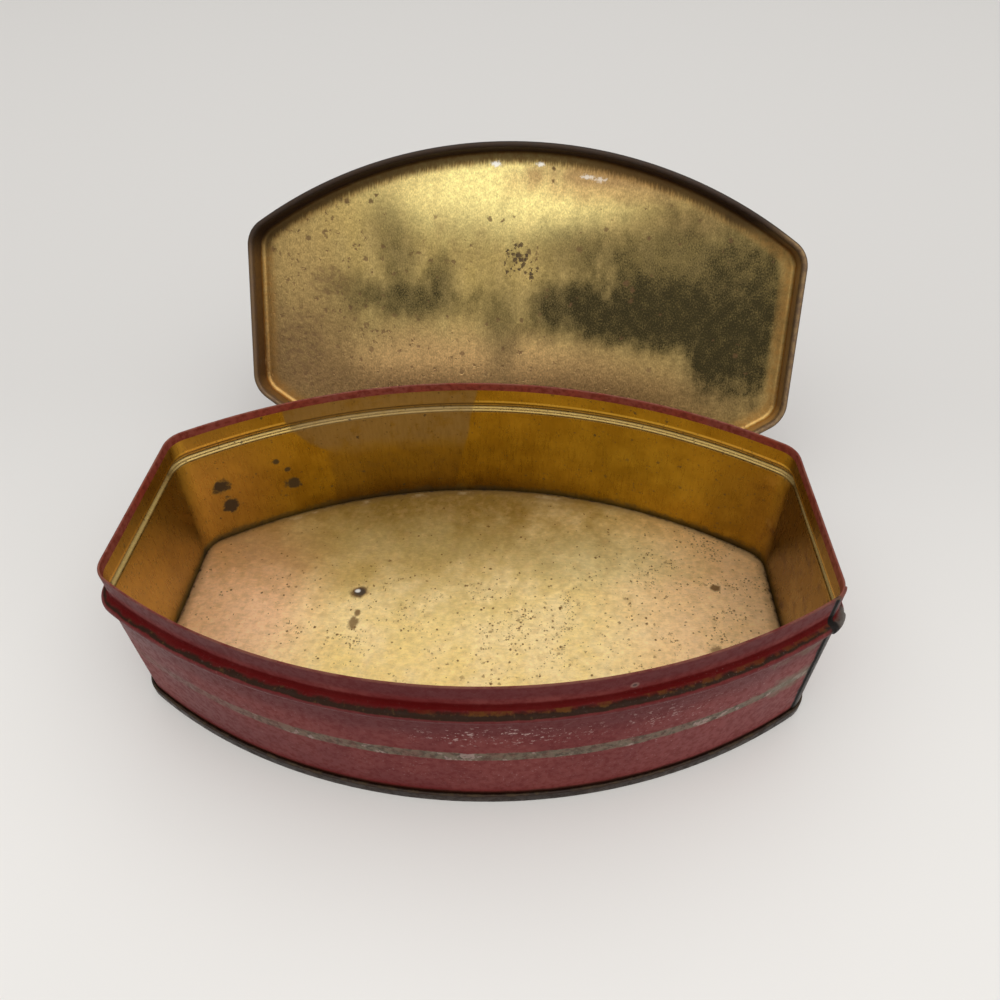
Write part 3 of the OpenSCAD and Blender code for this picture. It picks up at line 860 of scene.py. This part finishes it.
def makeBodyWall():
    reach, end, turn = plan["reach"], plan["halfEnd"], math.degrees(plan["turn"])
    slit = math.degrees(wall["slit"] / plan["corner"])
    piece = startSection("bodyWallSheet", wallSection(), (reach, -end, plan["corner"]), math.radians(slit - turn))
    spinOn(reach, -end, turn - slit, plan["cornerSteps"])
    drawOn(0, 2 * end, 2 * plan["endSteps"])
    roundFromRightEnd()
    # the outer end steps out over the inner end and goes round the corner
    away = Vector((math.cos(plan["turn"]), -math.sin(plan["turn"]), 0)) * wall["lapLift"]
    on = Vector((math.sin(plan["turn"]), math.cos(plan["turn"]), 0)) * wall["lapStep"]
    drawOn(away.x + on.x, away.y + on.y, 2)
    spinOn(reach + on.x * wall["lapShift"], -end + on.y * wall["lapShift"],
           math.degrees(wall["lap"] / plan["corner"]), plan["cornerSteps"])
    faceOutwards(piece, lambda c, n: n.dot(outwardAt(c.x / mm, c.y / mm)) if c.z < wall["plainBelow"] * mm else 0)
    wrap, outside = [], []
    for v in piece.data.vertices:
        run, out = wrapOf(v.co.x / mm, v.co.y / mm)
        wrap.append((run * mm, v.co.z))
        outside.append(out)
        # the sheet is a little wavy between its stiff hem and foot
        high = v.co.z / mm
        calm = share((high - wall["stillFoot"]) / wall["footFade"]) * share((wall["height"] - high) / wall["hemFade"])
        push = noise.noise(Vector((run * wall["waveRun"], v.co.z * wall["waveUp"], wall["waveSeed"])))
        v.co += outwardAt(v.co.x / mm, v.co.y / mm) * (push * wall["wave"] * calm) * mm
    keepMap(piece, "wrap", wrap)
    keepFloat(piece, "outside", outside)
    addSheet(piece, wall["sheet"], (redWall, wallGold, cutEdge))
    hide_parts("body_wall")
    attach(piece, "tin")
    print("body wall:", len(piece.data.polygons), "faces")


# floor with its chuck wall and double seam
floor = {
    "top": 4.1, "edge": 1.0, "chuck": 1.0, "foot": 2.3, "bend": 0.25, "height": 4.0, "lock": 0.25,
    "cover": 1.8, "hookLow": 1.05, "sheet": 0.3, "flange": 4.5, "panelAbove": 4.0,
    "sag": 0.12, "sink": 0.06, "sagScale": 22, "sagSeed": 7.7, "stillEdge": 3, "edgeFade": 18,
}


def floorSection():
    f = floor
    points = [(-f["flange"], f["top"])]
    points += linePoints(points[-1], (f["chuck"] - f["edge"], f["top"]), 5)
    points += arcPoints((f["chuck"] - f["edge"], f["top"] - f["edge"]), f["edge"], 90, 0, 6)[1:]
    points += arcPoints((f["chuck"] + f["bend"], f["sheet"] + f["bend"]), f["bend"], 180, 270, 4)
    points += arcPoints((f["foot"] - f["bend"], f["sheet"] + f["bend"]), f["bend"], 270, 360, 4)
    points += arcPoints((f["foot"] - f["lock"], f["height"] - f["sheet"] - f["lock"]), f["lock"], 0, 180, 8)
    return points + [(f["cover"], f["hookLow"])]


def makeBasePlate():
    f = floor
    piece = closedRing("basePlateSheet", floorSection())
    fillPanel(piece, f["flange"], f["top"])
    faceOutwards(piece, lambda c, n: n.z if c.z > f["panelAbove"] * mm else 0)
    outside = []
    for v in piece.data.vertices:
        out = wrapOf(v.co.x / mm, v.co.y / mm)[1]
        outside.append(out)
        # the panel sags a little, away from its stiff edge
        calm = share((-f["stillEdge"] - out) / f["edgeFade"])
        sag = noise.noise(Vector((v.co.x * f["sagScale"], v.co.y * f["sagScale"], f["sagSeed"])))
        v.co.z += (sag * f["sag"] - f["sink"]) * calm * mm
    keepFloat(piece, "outside", outside)
    addSheet(piece, f["sheet"], (floorGold, agedTin, cutEdge))
    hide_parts("base_plate")
    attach(piece, "tin")
    print("base plate:", len(piece.data.polygons), "faces")


# lid, made lying flat and then stood behind the tin
lid = {
    "height": 10.664, "edge": 2.0, "clear": 0.8, "sheet": 0.3, "curl": 1.1, "curlTurn": 300, "flange": 4.5,
    "lean": 28.0, "turn": -4.0, "x": 11.0, "y": 102.541, "z": 63.989, "panelAbove": 10.3,
    "dish": 0.25, "dishScale": 18, "dishSeed": 1.3, "stillEdge": 4, "edgeFade": 20,
}


def lidSection():
    d = lid
    edge = (d["clear"] + d["sheet"] - d["edge"], d["height"] - d["edge"])
    points = [(-d["flange"], d["height"] - d["sheet"])]
    points += linePoints(points[-1], (edge[0], d["height"] - d["sheet"]), 5)
    points += arcPoints(edge, d["edge"] - d["sheet"], 90, 0, 8)[1:]
    points += linePoints(points[-1], (d["clear"], d["curl"]), 4)
    points += arcPoints((d["clear"] + d["curl"], d["curl"]), d["curl"], 180, 180 + d["curlTurn"], 24)[1:]
    return points


def makeLid():
    d = lid
    piece = closedRing("lidSheet", lidSection())
    fillPanel(piece, d["flange"], d["height"] - d["sheet"])
    faceOutwards(piece, lambda c, n: -n.z if c.z > d["panelAbove"] * mm else 0)
    outside, rise, flat = [], [], []
    for v in piece.data.vertices:
        out = wrapOf(v.co.x / mm, v.co.y / mm)[1]
        outside.append(out)
        rise.append(v.co.z / mm)
        flat.append((v.co.x, v.co.y))
        calm = share((-d["stillEdge"] - out) / d["edgeFade"])
        dish = noise.noise(Vector((v.co.x * d["dishScale"], v.co.y * d["dishScale"], d["dishSeed"])))
        v.co.z += dish * d["dish"] * calm * mm
    keepFloat(piece, "outside", outside)
    keepFloat(piece, "rise", rise)
    keepMap(piece, "lidPlan", flat)
    addSheet(piece, d["sheet"], (lidGold, redLid, cutEdge))
    piece.matrix_world = (Matrix.Translation(Vector((d["x"], d["y"], d["z"])) * mm)
                          @ Matrix.Rotation(math.radians(d["turn"]), 4, "Z")
                          @ Matrix.Rotation(math.radians(-90 - d["lean"]), 4, "X"))
    activate(piece)
    bpy.ops.object.transform_apply(location=True, rotation=True, scale=True)
    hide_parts("lid")
    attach(piece, "lid")
    print("lid:", len(piece.data.polygons), "faces")


makeBodyWall()
makeBasePlate()
makeLid()


# paper under the tin, light and camera
studio = {
    "paper": (0.82, 0.81, 0.79), "farPaperShade": (0.66, 0.65, 0.635), "paperSize": 8, "paperTone": 0.98,
    "paperRoughness": 0.7, "paperShine": 0.2, "world": 0.68,
    "roomLow": (0.66, 0.66, 0.67), "roomHigh": (0.80, 0.79, 0.78), "backLow": (0.32, 0.32, 0.33),
    "backHigh": (1.9, 1.86, 1.80), "lighterRight": 0.3,
    "roof": 17.0, "roofSize": 3.0, "roofPlace": (0.0, -0.05, 1.7),
}


def makeStudio():
    clearSelection()
    bpy.ops.mesh.primitive_plane_add(size=studio["paperSize"])
    sheet = bpy.context.object
    sheet.name = "paperFloor"
    made, surface = newMaterial("whitePaper")
    place = objectPlace()
    tone = put("ShaderNodeTexNoise", {"Vector": place, "Scale": 6.0, "Detail": 2.0}).outputs["Fac"]
    shaded = tuple(c * studio["paperTone"] for c in studio["paper"])
    colour = blend(ramp(tone, 0.3, 0.7), studio["paper"], shaded)
    away = put("ShaderNodeSeparateXYZ", {"Vector": place}).outputs["Y"]
    # painted shade: the paper darkens farther away
    colour = blend(ramp(away, -0.12, 0.16), colour, studio["farPaperShade"])
    wire(surface, {"Base Color": colour})
    surface.inputs["Roughness"].default_value = studio["paperRoughness"]
    surface.inputs["Specular IOR Level"].default_value = studio["paperShine"]
    sheet.data.materials.append(made)
    # a pale room, darker low down behind the camera
    world = bpy.data.worlds.new("studio")
    bpy.context.scene.world = world
    world.use_nodes = True
    work["tree"] = world.node_tree
    sky = world.node_tree.nodes["Background"]
    way = put("ShaderNodeSeparateXYZ", {"Vector": put("ShaderNodeTexCoord").outputs["Generated"]}).outputs
    room = blend(ramp(way["Z"], 0.0, 0.7), studio["roomLow"], studio["roomHigh"])
    back = blend(ramp(way["Z"], 0.20, 0.60), studio["backLow"], studio["backHigh"])
    tint = blend(ramp(way["Y"], 0.25, -0.45), room, back)
    tint = blend(1.0, tint, scaled(way["X"], studio["lighterRight"], 1.0), "MULTIPLY")
    wire(sky, {"Color": tint})
    sky.inputs["Strength"].default_value = studio["world"]
    bpy.ops.object.light_add(type="AREA", location=studio["roofPlace"])
    roof = bpy.context.object
    roof.name = "roofLight"
    roof.data.size = studio["roofSize"]
    roof.data.energy = studio["roof"]


# the photo's view: place in millimetres, angles in degrees, focal length and picture width in pixels
photoView = {"place": (18.631, -172.564, 233.137), "down": 44.4215, "round": 3.1229, "tilt": -0.914,
             "focal": 765.908, "width": 1000, "sensor": 36, "near": 0.01}


def makeCamera():
    v = photoView
    down, about, tilt = math.radians(v["down"]), math.radians(v["round"]), math.radians(v["tilt"])
    ahead = Vector((-math.sin(about) * math.cos(down), math.cos(about) * math.cos(down), -math.sin(down)))
    right = Vector((math.cos(about), math.sin(about), 0))
    above = right.cross(ahead)
    side = right * math.cos(tilt) + above * math.sin(tilt)
    top = above * math.cos(tilt) - right * math.sin(tilt)
    bpy.ops.object.camera_add()
    camera = bpy.context.object
    camera.name = "photoCamera"
    turned = Matrix((side, top, -ahead)).transposed().to_4x4()
    camera.matrix_world = Matrix.Translation(Vector(v["place"]) * mm) @ turned
    camera.data.sensor_width = v["sensor"]
    camera.data.lens = v["focal"] / v["width"] * v["sensor"]
    camera.data.clip_start = v["near"]
    bpy.context.scene.camera = camera


makeStudio()
makeCamera()
bpy.context.scene.view_settings.view_transform = "Standard"
print("studio ready")
